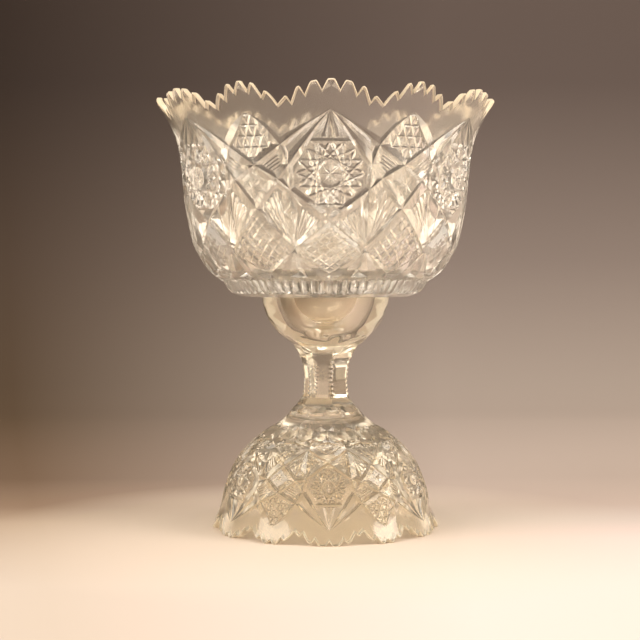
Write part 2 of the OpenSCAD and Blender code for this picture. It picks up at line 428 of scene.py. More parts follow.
def smooth_line(points, steps=4):
    """A smooth curve through points, with steps stretches between each two."""
    points = [np.array(p, float) for p in points]
    line = []
    for i in range(len(points) - 1):
        a, b = points[max(i - 1, 0)], points[i]
        c, d = points[i + 1], points[min(i + 2, len(points) - 1)]
        for j in range(steps):
            t = j / steps
            bend = 2 * a - 5 * b + 4 * c - d + t * (3 * (b - c) + d - a)
            line.append(b + t / 2 * (c - a + t * bend))
    return np.array(line + [points[-1]])


def left_of(line):
    """Unit directions square to a line at each of its points, on its left."""
    after = np.vstack([line[1:], line[-1:]])
    before = np.vstack([line[:1], line[:-1]])
    left = np.stack([before[:, 1] - after[:, 1], after[:, 0] - before[:, 0]], 1)
    return left / np.linalg.norm(left, axis=1)[:, None]


class Profile:
    """The line of a turned wall, as radius and height against the way along it."""

    def __init__(self, line):
        self.line = np.array(line)
        steps = np.linalg.norm(np.diff(self.line, axis=0), axis=1)
        self.way = np.concatenate([[0], np.cumsum(steps)])
        self.rises = self.line[-1, 1] > self.line[0, 1]
        self.out = left_of(self.line) * (-1 if self.rises else 1)

    def over_height(self, z, values):
        order = slice(None) if self.rises else slice(None, None, -1)
        return np.interp(z, self.line[order, 1], values[order])

    def at_height(self, z):
        return self.over_height(z, self.way)

    def radius(self, z):
        return self.over_height(z, self.line[:, 0])

    def place(self, way, lift=0.0):
        r, z = (np.interp(way, self.way, self.line[:, i]) for i in (0, 1))
        out_r, out_z = (np.interp(way, self.way, self.out[:, i]) for i in (0, 1))
        return r + lift * out_r, z + lift * out_z


bowl_side_shares = [
    (0.63, 0.004), (0.69, 0.045), (0.735, 0.106), (0.785, 0.194), (0.8165, 0.319),
    (0.8374, 0.44), (0.8617, 0.663), (0.8852, 0.768), (0.9278, 0.861), (0.9974, 0.966),
]
floor_corner = 0.62
collar_shares = [(0, 0), (0.4, 0.13), (0.7, 0.4), (0.88, 0.7), (1, 1)]
side_points = [
    (bowl_r * r, bowl_z + collar_h + (bowl_h - collar_h) * z) for r, z in bowl_side_shares]
collar_line = [
    (ground_ring_r + (collar_r - ground_ring_r) * r, bowl_z + collar_h * z)
    for r, z in collar_shares]
rim_end = (bowl_r, bowl_z + bowl_h)
bowl_outside = Profile(np.vstack([collar_line, smooth_line(side_points), rim_end]))

wall_shares = np.linspace(0, 1, len(side_points))[:, None]
side_walls = bowl_side_wall + wall_shares * (bowl_rim_wall - bowl_side_wall)
inside_points = np.array(side_points) + left_of(np.array(side_points)) * side_walls
floor_z = bowl_z + seat_depth + bowl_floor
inside_line = smooth_line([(inside_points[0][0] * floor_corner, floor_z), *inside_points])
bowl_inside = Profile(np.vstack([inside_line, [(bowl_r - bowl_rim_wall, bowl_z + bowl_h)]]))
print("bowl outside is", round(float(bowl_outside.way[-1]), 1), "mm along its line")

# %% [markdown]
# ## Cuts as planes
# Unroll the wall, and it is a flat sheet: x runs round it, y along its line, and the depth of
# the cutting is a height over it. A V groove is then two planes that meet in its bottom line,
# with two more at each end where the wheel came in and went out. Where planes of one cut
# overlap, the highest counts, because the wheel is convex. Where two cuts overlap, the lowest
# counts, because glass that is gone stays gone. Each cut is an array of planes a, b, c that
# stand for the height a * x + b * y + c.

# %% Grooves
steep = 40.0
flute_side = 1.5
flute_bottom = 0.8


def plane_through(normal, point, slope, height=0.0):
    """The plane of a slope that rises along a unit normal, with its height at a point."""
    a, b = slope * normal[0], slope * normal[1]
    return (a, b, height - a * point[0] - b * point[1])


def groove(start, end, half_w, depth, start_lead=0.0, end_lead=0.0):
    """V groove from start to end.

    A lead over 0 is the way over which the bottom comes down from the surface. A lead under 0
    lets the groove run on past its end by that much, coming up there. At 0 it ends square."""
    along = unit(end - start)
    across = quarter_turn(along)
    start = start + along * min(start_lead, 0)
    end = end - along * min(end_lead, 0)
    slope = depth / half_w
    planes = [plane_through(side * across, start, slope, -depth) for side in (-1, 1)]
    for point, way, lead in ((start, -along, start_lead), (end, along, end_lead)):
        if lead == 0:
            planes.append(plane_through(way, point, steep))
            continue
        rise = plane_through(way, point, depth / abs(lead))
        for side in (-1, 1):
            planes.append(np.add(plane_through(side * across, point, slope), rise))
    return np.array(planes)


def flute(start, end, half_w, depth, lead):
    """A groove with a hollow bottom instead of a sharp one."""
    along = unit(end - start)
    planes = []
    for across in (-quarter_turn(along), quarter_turn(along)):
        planes.append(plane_through(across, start + across * half_w, flute_side * depth / half_w))
        planes.append(plane_through(across, start, flute_bottom * depth / half_w, -depth))
    planes.append(plane_through(-along, start, depth / lead))
    planes.append(plane_through(along, end, depth / lead))
    return np.array(planes)


def mirrored(cut, x):
    """The same cut on the other side of the line at x."""
    a, b, c = cut.T
    return np.stack([-a, b, c + 2 * a * x], 1)


def heights(cuts, points):
    """Height of the cut sheet over many points."""
    low = np.zeros(len(points))
    for cut in cuts:
        low = np.minimum(low, (points @ cut[:, :2].T + cut[:, 2]).max(1))
    return low


print("grooves ready, with square ends of slope", steep)

# %% [markdown]
# ## Creases
# A mesh shows a sharp edge only where it has an edge. So every line in which two planes meet
# on the finished surface has to be found. For each pair of planes that is one line. It is
# clipped to the stretch where both planes are the ones that count, and then the stretches
# that a third cut took away are dropped. What is left is exactly the lines a cutter sees.

# %% Find the creases of a cut sheet
close = 1e-4
parallel = 1e-9
shortest_crease = 0.02


def footprint(cut, window):
    """Box round the part of a window in which a cut lies below the surface, or None."""
    corners = []
    lines = [*cut, *window]
    for i, (a, b, c) in enumerate(lines):
        for d, e, f in lines[i + 1:]:
            det = a * e - b * d
            if det:
                point = np.array([(b * f - c * e) / det, (c * d - a * f) / det])
                if all(p[:2] @ point + p[2] < close for p in lines):
                    corners.append(point)
    if len(corners) > 2:
        return np.min(corners, 0), np.max(corners, 0)


def meeting_lines(first, second):
    """Stretches in which a plane of one cut meets a plane of another, both of them counting."""
    found = []
    for i, p in enumerate(first):
        for q in second[i + 1:] if first is second else second:
            gap = p - q
            length = math.hypot(gap[0], gap[1])
            if length < parallel:
                continue
            origin = -gap[2] * gap[:2] / length**2
            along = quarter_turn(gap) / length
            rivals = np.vstack([p - first, q - second, -p[None]])
            level = rivals[:, :2] @ origin + rivals[:, 2]
            rise = rivals[:, :2] @ along
            flat = np.abs(rise) < parallel
            if (level[flat] < -close).any():
                continue
            ends = -level[~flat] / rise[~flat]
            up = rise[~flat] > 0
            low = ends[up].max(initial=-1e4)
            high = ends[~up].min(initial=1e4)
            if high - low > shortest_crease:
                found.append((origin + low * along, origin + high * along, p))
    return found


def creases(cuts, window):
    """All creases of a cut sheet inside a window, given as planes that are negative inside."""
    boxes = [footprint(cut, window) for cut in cuts]
    cuts = [cut for cut, box in zip(cuts, boxes) if box]
    boxes = [box for box in boxes if box]
    ground = np.zeros((1, 3))
    lines = []
    for i, cut in enumerate(cuts):
        lines += meeting_lines(cut, cut) + meeting_lines(cut, ground)
        for j in range(i + 1, len(cuts)):
            if (boxes[i][0] < boxes[j][1]).all() and (boxes[j][0] < boxes[i][1]).all():
                lines += meeting_lines(cut, cuts[j])
    # cuts of fewer planes repeat their first one, so that all fit in one array
    count = max(len(cut) for cut in cuts)
    stack = np.array([cut[[*range(len(cut)), *[0] * (count - len(cut))]] for cut in cuts])
    kept = []
    for a, b, p in lines:
        rivals = stack - p
        at_a = rivals[:, :, :2] @ a + rivals[:, :, 2] + close
        at_b = rivals[:, :, :2] @ b + rivals[:, :, 2] + close
        slope = at_b - at_a
        with np.errstate(divide="ignore", invalid="ignore"):
            zero = -at_a / slope
        low = np.where(slope < 0, zero, np.where((slope == 0) & (at_a >= 0), 2.0, -1.0)).max(1)
        high = np.where(slope > 0, zero, 2.0).min(1)
        hidden = sorted((max(l, 0), min(h, 1)) for l, h in zip(low, high) if h > max(l, 0) and l < 1)
        reached = 0.0
        for l, h in hidden + [(1.0, 1.0)]:
            if l > reached + 1e-6:
                kept.append((a + (b - a) * reached, a + (b - a) * l))
            reached = max(reached, h)
    return cuts, kept


print("crease finder ready")

# %% [markdown]
# ## From creases to a sheet of triangles
# Blender's constrained Delaunay function fills a flat outline with triangles and keeps every
# line it is given as an edge. Long lines are split first, and a loose grid of points is
# added, so that the sheet can bend round the axis without flattening.

# %% Triangulate a cut sheet
reach = 4.0
snap = 0.004


def split_line(a, b):
    """Points on a line, no further apart than the longest edge allowed."""
    count = max(1, math.ceil(np.linalg.norm(b - a) / reach))
    return [a + (b - a) * i / count for i in range(count + 1)]


def clip_line(a, b, window):
    """The stretch of a line inside a window, or None."""
    low, high = 0.0, 1.0
    for p in window:
        at_a = p[:2] @ a + p[2]
        at_b = p[:2] @ b + p[2]
        if at_a > 0 and at_b > 0:
            return None
        if at_a > 0:
            low = max(low, at_a / (at_a - at_b))
        elif at_b > 0:
            high = min(high, at_a / (at_a - at_b))
    if high - low > 1e-6:
        return a + (b - a) * low, a + (b - a) * high


def triangulate(outline, lines, window, loose):
    """Points and triangles of a closed outline with lines and loose points inside it."""
    points = list(outline)
    edges = [(i, (i + 1) % len(outline)) for i in range(len(outline))]
    for a, b in lines:
        clipped = clip_line(a, b, window)
        if clipped:
            line = split_line(*clipped)
            edges += [(len(points) + i, len(points) + i + 1) for i in range(len(line) - 1)]
            points += line
    points = [Vector(p) for p in [*points, *loose]]
    result = delaunay_2d_cdt(points, edges, [], 1, snap, False)
    points, faces = np.array(result[0]), np.array(result[2])
    return points, faces[inside_outline(points, faces, outline, window)]


def inside_outline(points, faces, outline, window):
    """Which triangles are really inside, because the function fills up to the convex hull."""
    middle = points[faces].mean(1)
    inside = np.zeros(len(faces), bool)
    for (ax, ay), (bx, by) in zip(outline, outline[1:] + outline[:1]):
        if ay != by:
            crosses = (middle[:, 1] < ay) != (middle[:, 1] < by)
            x = ax + (middle[:, 1] - ay) * (bx - ax) / (by - ay)
            inside ^= crosses & (middle[:, 0] < x)
    for plane in window:
        on_line = np.abs(points @ plane[:2] + plane[2]) < snap
        inside &= ~on_line[faces].all(1)
    return inside


def loose_points(x_end, y_low, y_high, lines, outline):
    """A grid of points that keeps away from all lines."""
    xs = np.arange(reach / 2, x_end, reach)
    ys = np.arange(y_low + reach / 2, y_high, reach)
    grid = np.array([(x, y) for y in ys for x in xs])
    for a, b in [*lines, *zip(outline, outline[1:] + outline[:1])]:
        a = np.array(a)
        along = b - a
        t = np.clip(((grid - a) @ along) / max(along @ along, 1e-12), 0, 1)
        grid = grid[np.linalg.norm(grid - (a + t[:, None] * along), axis=1) > reach / 4]
    return grid


print("triangulation ready, edges up to", reach, "mm")

# %% [markdown]
# The pattern needs few kinds of cut. Straight grooves join the points of a lattice, sets of
# parallel grooves fill diamonds, and stars are grooves that cross in one middle. A `Sheet`
# collects the cuts of half a repeat. It adds the mirror image of each one over both borders,
# so that grooves run on into the neighbouring halves. A cut's size is a pair, half its width
# and its depth in millimetres as on the bowl, and a sheet scales it.

# %% A sheet that collects cuts
beyond = 99.0
shortest_groove = 1.5
fan_end = 1.2


def heading(angle):
    """The direction at an angle in radians to the right of straight up."""
    return np.array([math.sin(angle), math.cos(angle)])


def side_away(a, b, point):
    """Unit direction square to the line from a to b, on the side away from a point."""
    side = quarter_turn(unit(b - a))
    return -side if side @ (point - a) > 0 else side


class Sheet:
    """Half a repeat of a turned wall, unrolled at one radius."""

    def __init__(self, profile, unroll_r, scale):
        self.profile = profile
        self.unroll_r = unroll_r
        self.scale = scale
        self.width = unroll_r * math.radians(half_repeat)
        self.found = {}

    def spot(self, degrees, z):
        return np.array([self.unroll_r * math.radians(degrees), self.profile.at_height(z)])

    def add(self, cut):
        for image in (cut, mirrored(cut, 0), mirrored(cut, self.width)):
            key = tuple(sorted(tuple(row) for row in np.round(image, 3) + 0.0))
            self.found.setdefault(key, image)

    def groove(self, start, end, size, start_lead=0.0, end_lead=0.0):
        half_w, depth = (v * self.scale for v in size)
        self.add(groove(start, end, half_w, depth, start_lead, end_lead))

    def hatch(self, corners, along, offsets, size, origin):
        """Parallel grooves in a polygon, at given distances to the left of an origin."""
        along = unit(np.array(along, float))
        middle = np.mean(corners, 0)
        sides = []
        for a, b in zip(corners, [*corners[1:], corners[0]]):
            side = side_away(a, b, middle)
            sides.append((*side, -side @ a))
        for offset in offsets:
            start = origin + quarter_turn(along) * offset * self.scale
            ends = clip_line(start - along * beyond, start + along * beyond, np.array(sides))
            if ends and np.linalg.norm(ends[1] - ends[0]) > shortest_groove:
                self.groove(*ends, size)

    def star(self, middle, rays, radius, size):
        """Grooves that cross in one middle, deepest there."""
        radius = radius * self.scale
        for i in range(rays // 2):
            angle = math.pi * 2 * i / rays
            arm = np.array([math.cos(angle), math.sin(angle)]) * radius
            self.groove(middle - arm, middle + arm, size, radius, radius)

    def fan(self, apex, angles, far_lines, margin, size):
        """Flutes that come out of one apex and widen, each up to the first far line."""
        for angle in angles:
            way = heading(math.radians(angle))
            reaches = []
            for a, b in far_lines:
                side = side_away(a, b, apex)
                speed = side @ way
                gap = side @ (a - apex) - margin * self.scale
                if speed > 1e-6 and gap > 0:
                    reaches.append(gap / speed)
            length = min(reaches)
            self.groove(apex, apex + way * length, size, length, fan_end * self.scale)


print("sheets and their cuts ready")

# %% [markdown]
# ## The main mitres
# Three families of long mitres lace the wall. Each runs aslant from scallop to scallop, and
# where they cross they leave diamonds and kites. Names for the crossings make the rest
# easy to write: `top` is under a wide scallop's middle, `kite_top` under a narrow one's, and
# so on down to `fan`, out of which the fans grow. Angles count from the middle of the front.

# %% The lattice and its mitres
bowl_lattice = {
    "top": (0, 276), "kite_top": (30, 276), "kite_side": (18.9, 255), "kite_foot": (30, 243),
    "shoulder": (16, 242.6), "cross": (20.4, 234), "elbow": (15.4, 227), "side_foot": (30, 215.5),
    "foot": (0, 207.8), "fan": (14.8, 189.5), "end": (0, 172.5), "side_end": (30, 172.5),
}
mitre_size = (3.65, 2.6)
upright_size = (4.6, 2.9)
upright_fade = 0.6
run_on = 1.5
top_run_on = 2


def mitres(sheet, at):
    """The long mitres from crossing to crossing."""
    k = sheet.scale
    tops = [("top", "kite_side", 1.0), ("top", "shoulder", 0.8), ("kite_top", "kite_side", 0.5)]
    for start, end, share in tops:
        lead = np.linalg.norm(at[end] - at[start]) * share
        sheet.groove(at[start], at[end], mitre_size, lead, -top_run_on * k)
    runs = [
        ("kite_side", "kite_foot"), ("kite_foot", "cross"), ("cross", "elbow"), ("elbow", "foot"),
        ("foot", "fan"), ("shoulder", "cross"), ("cross", "side_foot"), ("side_foot", "fan"),
        ("kite_side", "shoulder"), ("shoulder", "elbow"),
    ]
    for start, end in runs:
        sheet.groove(at[start], at[end], mitre_size, -run_on * k, -run_on * k)
    lead = np.linalg.norm(at["fan"] - at["elbow"]) * upright_fade
    sheet.groove(at["elbow"], at["fan"], upright_size, -run_on * k, lead)


bowl_sheet = Sheet(bowl_outside, 96.0, 1.0)
bowl_at = {name: bowl_sheet.spot(*place) for name, place in bowl_lattice.items()}
mitres(bowl_sheet, bowl_at)
print(len(bowl_sheet.found), "cuts so far")

# %% [markdown]
# ## Hobstars
# A hobstar is a star of sixteen points. The cutter joins each point on a circle with the
# sixth one after it, and the mitres leave a raised button in the middle. The button gets a
# ring of short cuts and a small star of its own.

# %% Hobstar and small stars
star_points = 16
star_skip = 6
star_size = (1.35, 1.05)
star_fade = 0.12
button_size = (1.5, 1.4)
button_gap = 0.6
button_side = 1.3
button_run_on = 0.8
button_star_size = (1.1, 0.7)
button_star = 0.85
small_star_size = (0.8, 0.7)
small_star_r = 6.2


def hobstar(sheet, middle, radius):
    """Sixteen crossing mitres round a button."""
    k = sheet.scale
    lead = radius * star_fade
    half_step = math.pi / star_points
    spread = [2 * math.pi * i / star_points for i in range(star_points)]
    ring = [middle + radius * heading(a) for a in spread]
    for i in range(star_points):
        end = ring[(i + star_skip) % star_points]
        sheet.groove(ring[i], end, star_size, lead, lead)
    button = radius * math.cos(star_skip * math.pi / star_points)
    half = button * math.tan(half_step) * button_side
    lead = -button_run_on * k
    for a in spread:
        out = heading(a + half_step)
        side = quarter_turn(out)
        spot = middle + out * (button + button_gap * k)
        sheet.groove(spot - side * half, spot + side * half, button_size, lead, lead)
    sheet.star(middle, 8, button / k * button_star, button_star_size)


hobstar(bowl_sheet, bowl_sheet.spot(0, 237.0), 21.5)
bowl_sheet.star(bowl_sheet.spot(30, 230), 8, small_star_r, small_star_size)
print(len(bowl_sheet.found), "cuts with the stars")

# %% [markdown]
# ## Panels, fans and lines
# Over the hobstar three flutes run together under the scallop, and a straight chord ends
# them. Below it a second chord leans down into the corner. Fans of flutes grow out of the
# lowest crossings, and four fine lines cross the plateau beside each kite.

# %% Chords, fans and lines
upper_chord_size = (2.1, 1.7)
upper_chord_lead = 2
lower_chord_size = (1.6, 1.3)
lower_chord_lead = 1.5
panel_flute_size = (2.0, 1.3)
panel_flute_gap = 1.6
panel_flute_lead = 1.0
fan_size = (1.45, 1.1)
fan_margin = 3.9
line_size = (0.7, 0.5)
line_offsets = [-5.2, -7.2, -9.2, -11.2]


def chords(sheet, at, upper_z, upper_half, lower_z, lower_half, flute_step):
    """The chords over and under the hobstar, and the flutes of the upper panel."""
    k = sheet.scale
    upper = sheet.spot(0, upper_z)
    lower = sheet.spot(0, lower_z)
    side = np.array([1.0, 0.0])
    arm, lead = side * upper_half, upper_chord_lead * k
    sheet.groove(upper - arm, upper + arm, upper_chord_size, lead, lead)
    arm, lead = side * lower_half, lower_chord_lead * k
    sheet.groove(lower - arm, lower + arm, lower_chord_size, lead, lead)
    way = upper - at["top"]
    length = abs(way[1]) - panel_flute_gap * k
    for i in (-1, 0, 1):
        end = at["top"] + (way + side * i * flute_step) * (length / abs(way[1]))
        sheet.groove(at["top"], end, panel_flute_size, length, panel_flute_lead * k)


def fans_and_lines(sheet, at, inner_angles, outer_angles):
    """The fans on both sides of the long upright mitre, and the fine lines beside the kite."""
    inner = [(at["elbow"], at["foot"])]
    sheet.fan(at["fan"], inner_angles, inner, fan_margin, fan_size)
    outer = [(at["cross"], at["side_foot"]), (at["cross"], at["elbow"])]
    sheet.fan(at["fan"], outer_angles, outer, fan_margin, fan_size)
    plateau = [at["kite_side"], at["kite_foot"], at["cross"], at["shoulder"]]
    along = at["kite_foot"] - at["kite_side"]
    sheet.hatch(plateau, along, line_offsets, line_size, at["kite_side"])


chords(bowl_sheet, bowl_at, 257, 12.6, 217.5, 9.5, 4.2)
fans_and_lines(bowl_sheet, bowl_at, [-15, -21, -27, -33, -39], [15, 21, 27, 33])
print(len(bowl_sheet.found), "cuts with fans and lines")

# %% [markdown]
# ## Hobnails and strawberry diamonds
# The kite is filled with small hobs. Two slanting sets of grooves and a level set through
# their crossings leave them standing, and a small star is cut into every other one. The large
# diamonds below are strawberry diamonds: a coarse grid, and a fine one inside each square.
# Each diamond is closed below by a broad mitre, and a still wider one runs down between them.

# %% Hobnails and diamonds
hob_size = (1.0, 0.8)
hobs_from = 4.0
hob_star_size = (0.55, 0.4)
hob_star_r = 2.0
hob_room = 2.6
kite_spread = 0.45
coarse_size = (1.25, 0.95)
fine_size = (0.5, 0.28)
closing_size = (6.0, 2.8)
between_size = (7.5, 4.2)
closing_run_on = 1.0


def hobnails(sheet, at, pitch_x, pitch_y):
    """Small hobs with stars in the kite."""
    k = sheet.scale
    kite = [at["kite_top"], at["kite_side"], at["kite_foot"]]
    kite.append(np.array([2 * sheet.width - at["kite_side"][0], at["kite_side"][1]]))
    origin = at["kite_foot"] + np.array([pitch_x / 2, hobs_from * k])
    way = np.array([pitch_x / 2, pitch_y])
    step = pitch_x * pitch_y / math.hypot(*way) / k
    sheet.hatch(kite, way, [step * i for i in range(-5, 6)], hob_size, origin)
    sheet.hatch(kite, (1, 0), [pitch_y / k * i for i in range(6)], hob_size, origin)
    for row in range(5):
        for i in range(-3, 0):
            x, y = origin + np.array([pitch_x * i, pitch_y * (row + 0.5)])
            below_top = at["kite_top"][1] - y if y > at["kite_side"][1] else math.inf
            if below_top * kite_spread - abs(x - sheet.width) > hob_room * k:
                sheet.star(np.array([x, y]), 6, hob_star_r, hob_star_size)


def strawberry(sheet, corners, pitch):
    """A coarse grid with a finer one inside each square."""
    top, left, end, right = corners
    way = right - top
    across = abs(np.cross(unit(way), left - top)) / sheet.scale
    count = round(across / pitch)
    step = across / count
    coarse = [-step * i for i in range(1, count)]
    fine = [-step * (i + j / 4) for i in range(count) for j in (1, 2, 3)]
    sheet.hatch(corners, way, coarse, coarse_size, top)
    sheet.hatch(corners, way, fine, fine_size, top)


def diamonds(sheet, at, pitch):
    """Both strawberry diamonds, the mitres that close them below and the one between them."""
    lead = -closing_run_on * sheet.scale
    fan = at["fan"]
    for top, end, axis in (("foot", "end", 0.0), ("side_foot", "side_end", sheet.width)):
        sheet.groove(fan, at[end], closing_size, np.linalg.norm(at[end] - fan), lead)
        other = np.array([2 * axis - fan[0], fan[1]])
        left, right = sorted([fan, other], key=lambda p: p[0])
        strawberry(sheet, [at[top], left, at[end], right], pitch)
    low = np.array([fan[0], (at["end"][1] + at["side_end"][1]) / 2])
    sheet.groove(fan, low, between_size, np.linalg.norm(low - fan), lead)


hobnails(bowl_sheet, bowl_at, 5.9, 7.0)
diamonds(bowl_sheet, bowl_at, 5.5)
print(len(bowl_sheet.found), "cuts with hobnails and diamonds")

# %% [markdown]
# ## Fluted collar
# The bowl ends in a thick collar over its ground ring. Short upright flutes, 72 in all, are
# cut side by side round it.

# %% Collar flutes
# half the width, depth and lead of a flute
collar_flute = (3.6, 1.7, 2.2)
flute_count = 72
flute_low_z = bowl_z + 2.2
flute_high_z = bowl_z + 12.6
for i in range(flute_count // repeats // 2):
    degrees = (i + 0.5) * 360 / flute_count
    low = bowl_sheet.spot(degrees, flute_low_z)
    high = bowl_sheet.spot(degrees, flute_high_z)
    bowl_sheet.add(flute(low, high, *collar_flute))
print(len(bowl_sheet.found), "cuts in half a repeat of the bowl")

# %% [markdown]
# ## Toothed rims
# Wide and narrow scallops take turns round the rim, and each is notched into teeth with a
# V-shaped wheel. The outline is worked out once, as degrees and depth under the rim's top
# level. The outside, the inside and the cut edge all follow it, so the wall closes.

# %% Tooth outlines
wide_half = half_repeat * 0.6
narrow_half = half_repeat - wide_half
longest_step = 1.6


def scallop_fall(degrees, rim_r, valley):
    """How far a scallop has come down at an angle from the front's middle."""
    half = wide_half if degrees <= wide_half else narrow_half
    angle = degrees if degrees <= wide_half else half_repeat - degrees
    w = rim_r * math.sin(math.radians(half))
    scallop_r = (w * w + valley * valley) / (2 * valley)
    return scallop_r - math.sqrt(scallop_r**2 - (rim_r * math.sin(math.radians(angle))) ** 2)


def tooth_line(rim_r, valley, notch, notch_angle, wide_shares, narrow_shares, rounding):
    """Half a repeat of a toothed rim, as degrees and depth."""
    per_degree = rim_r * math.pi / 180
    slope = 1 / math.tan(math.radians(notch_angle / 2))
    notches = [wide_half * s for s in wide_shares]
    notches += [half_repeat - narrow_half * s for s in narrow_shares]

    def fall(angle):
        return scallop_fall(angle, rim_r, valley)

    # the valley between the scallops and the ends of the line have no walls of a notch
    lows = [(a, fall(a) + notch, slope) for a in notches] + [(wide_half, valley, 0.0)]
    lows += [(a, fall(a), 0.0) for a in (0.0, half_repeat) if a not in notches]
    lows.sort()

    def wall_end(low, other):
        """Where a low's wall meets the scallop, on the side of another angle."""
        angle, depth, steepness = low
        near, far = angle, other
        for _ in range(40 if steepness else 0):
            middle = (near + far) / 2
            if depth - steepness * abs(middle - angle) * per_degree > fall(middle):
                near = middle
            else:
                far = middle
        return near, fall(near)

    line = []
    for left, right in zip(lows, lows[1:]):
        start, end = wall_end(left, right[0]), wall_end(right, left[0])
        line.append((*left[:2], False))
        if left[2]:
            line.append((*start, True))
        top_steps = max(2, math.ceil((end[0] - start[0]) * per_degree / longest_step))
        for i in range(1, top_steps):
            angle = start[0] + (end[0] - start[0]) * i / top_steps
            line.append((angle, fall(angle), False))
        if right[2]:
            line.append((*end, True))
    line.append((*lows[-1][:2], False))
    return round_corners(line, per_degree, rounding)


def round_corners(line, per_degree, rounding):
    """The line with three points in place of each marked corner."""
    flat = [np.array([angle * per_degree, depth]) for angle, depth, _ in line]
    result = []
    for i, (_, _, corner) in enumerate(line):
        here = flat[i]
        if not corner:
            result.append(here)
            continue
        steps = [flat[i - 1] - here, flat[i + 1] - here]
        a, b = [here + unit(s) * min(rounding, np.linalg.norm(s) * 0.48) for s in steps]
        result += [a, (a + 2 * here + b) / 4, b]
    return np.array(result) / [per_degree, 1]


def set_back(line, rim_r, amount):
    """The line moved into the glass."""
    per_degree = rim_r * math.pi / 180
    flat = line * [per_degree, 1]
    normal = left_of(flat)
    normal[0] = normal[-1] = (0, 1)
    return (flat + normal * amount) / [per_degree, 1]


bowl_teeth = tooth_line(bowl_r, 15.0, 6.4, 56, [0.16, 0.475, 0.745], [0.21, 0.6], 1.5)
foot_teeth = tooth_line(foot_r, 9.5, 3.5, 70, [0, 0.405, 0.75], [0, 0.5], 1.0)
print(len(bowl_teeth), "points in half a repeat of the rim,", len(foot_teeth), "in the foot")

# %% [markdown]
# ## Closing a wall
# Each half repeat is a set of patches: the cut outside, the smooth inside and the narrow edge
# between them, which is bevelled on both sides. They share their border points, so that all
# copies can be turned round the axis and welded into one closed piece of glass.

# %% Patches and welding
sharp_angle = 15.0
weld = 0.01
below_teeth = 1.5


class Glass:
    """Collects patches as angle, radius and height, and turns them into one mesh."""

    def __init__(self):
        self.points = []
        self.faces = []
        self.finishes = []
        self.count = 0
        self.finish = 0

    def patch(self, points, faces, copies=repeats, mirror=True):
        """Adds copies of a patch of (degrees, radius, height) round the axis."""
        degrees, r, z = np.array(points, float).T
        for turn in range(copies):
            for side in ((1, -1) if mirror else (1,)):
                first = self.count
                self.count += len(points)
                angle = np.radians(degrees * side + 360 / copies * turn)
                self.points.append(np.stack([r * np.sin(angle), -r * np.cos(angle), z], 1))
                self.faces += [[first + i for i in face[::side]] for face in faces]
                self.finishes += [self.finish] * len(faces)

    def strips(self, rows, copies=repeats, mirror=True):
        """Adds quads between rows of equally many points, each (degrees, radius, height)."""
        n = len(rows[0])
        corners = [i * n + j for i in range(len(rows) - 1) for j in range(n - 1)]
        faces = [(a, a + 1, a + n + 1, a + n) for a in corners]
        self.patch([p for row in rows for p in row], faces, copies, mirror)

    def rings(self, points):
        """Adds a smooth turned surface through points of (radius, height)."""
        self.strips([[(a, r, z) for a in columns] for r, z in points])

    def build(self, name, materials):
        """Welds all patches and makes the object."""
        mesh = bpy.data.meshes.new(name)
        work = bmesh.new()
        vertices = [work.verts.new(p * MM) for p in np.vstack(self.points)]
        for face, finish in zip(self.faces, self.finishes):
            work.faces.new([vertices[i] for i in face]).material_index = finish
        bmesh.ops.remove_doubles(work, verts=work.verts, dist=weld * MM)
        bmesh.ops.dissolve_degenerate(work, edges=work.edges, dist=weld * MM / 2)
        bmesh.ops.triangulate(work, faces=[f for f in work.faces if len(f.verts) > 4])
        bmesh.ops.recalc_face_normals(work, faces=work.faces)
        open_edges = sum(1 for e in work.edges if len(e.link_faces) != 2)
        work.to_mesh(mesh)
        work.free()
        mesh.shade_smooth()
        mesh.set_sharp_from_angle(angle=math.radians(sharp_angle))
        for material in materials:
            mesh.materials.append(material)
        triangles = sum(len(f.vertices) - 2 for f in mesh.polygons)
        print(name, "has", triangles, "triangles and", open_edges, "edges that aren't closed")
        return add_object(name, mesh)


def wall_patch(profile, unroll_r, cuts, low_way, teeth, to_z, cut_limit=math.inf):
    """One side of a toothed wall as a patch, from a level border up to its teeth."""
    width = unroll_r * math.radians(half_repeat)
    top = [(unroll_r * math.radians(a), float(profile.at_height(to_z(d)))) for a, d in teeth]
    level = [(unroll_r * math.radians(a), low_way) for a in columns]
    rising = split_line(np.array(level[-1]), np.array(top[-1]))[1:-1]
    falling = split_line(np.array(top[0]), np.array(level[0]))[1:-1]
    outline = level + rising + top[::-1] + falling
    window = np.array([(-1, 0, 0), (1, 0, -width), (0, -1, low_way), (0, 1, -cut_limit)])
    lines = []
    if cuts:
        cuts, lines = creases(cuts, window)
    loose = loose_points(width, low_way, max(p[1] for p in top), lines, outline)
    loose = [p for p in loose if p[1] < np.interp(p[0], *zip(*top)) - below_teeth]
    points, faces = triangulate(outline, lines, window, loose)
    points[:, 0] = np.clip(points[:, 0], 0, width)
    shared = {(round(x, 3), round(y, 3)) for x, y in top + level}
    places = []
    for (x, y), lift in zip(points, heights(cuts, points)):
        if (round(x, 3), round(y, 3)) in shared:
            lift = 0.0
        places.append((math.degrees(x / unroll_r), *profile.place(y, lift)))
    return places, faces


